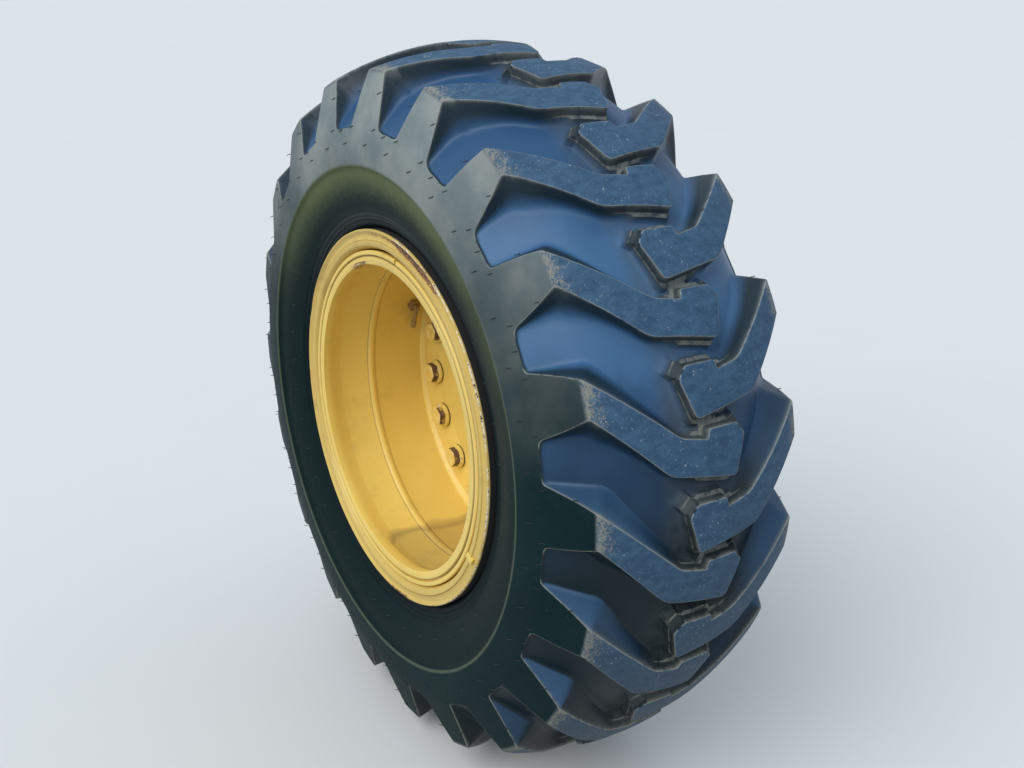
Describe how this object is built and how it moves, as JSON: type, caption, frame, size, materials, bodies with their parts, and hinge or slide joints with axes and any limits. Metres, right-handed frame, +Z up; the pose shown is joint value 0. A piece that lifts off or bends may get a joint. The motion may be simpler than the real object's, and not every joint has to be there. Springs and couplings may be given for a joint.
{
  "type": "motor grader tandem wheel with hub and housing",
  "caption": "Large off-road wheel with chevron lugs on a multi-piece rim, bolted to a flanged spindle that turns in a housing with bolt holes for the tandem case.",
  "frame": {"origin": "on the wheel's axis, in the plane where the housing bolts to the tandem case", "axes": "+X forward, -Y outboard from the machine along the wheel's axis, +Z up"},
  "size_m": [1.348, 0.6315, 1.348],
  "materials": {
    "tyre": "worn rubber",
    "rim_paint": "worn yellow paint",
    "bolt_paint": "yellow paint, rusty flats",
    "hub_paint": "worn yellow paint",
    "housing_paint": "dusty yellow paint",
    "bolt_steel": "dull"
  },
  "bodies": {
    "housing": {"bearing_housing": "housing_paint", "brake_housing": "housing_paint", "brake_bolts": "bolt_steel", "brake_inlet": "bolt_steel", "bleeder_screw": "bolt_steel"},
    "wheel": {"tyre": "tyre", "rim_base": "rim_paint", "inner_flange": "rim_paint", "outer_flange": "rim_paint", "bead_seat_band": "rim_paint", "lock_ring": "rim_paint", "wheel_disc": "rim_paint", "bolt_washers": "rim_paint", "wheel_bolts": "bolt_paint", "valve_base": "rim_paint", "valve_stem": "rim_paint", "wheel_spindle": "hub_paint", "spindle_cover": "hub_paint", "cover_bolts": "bolt_steel"}
  },
  "joints": [
    {"name": "wheel_spin", "type": "hinge", "parent": "housing", "child": "wheel", "pos_m": [0, -0.2755, 0], "axis": [0, 1, 0], "continuous": true}
  ]
}
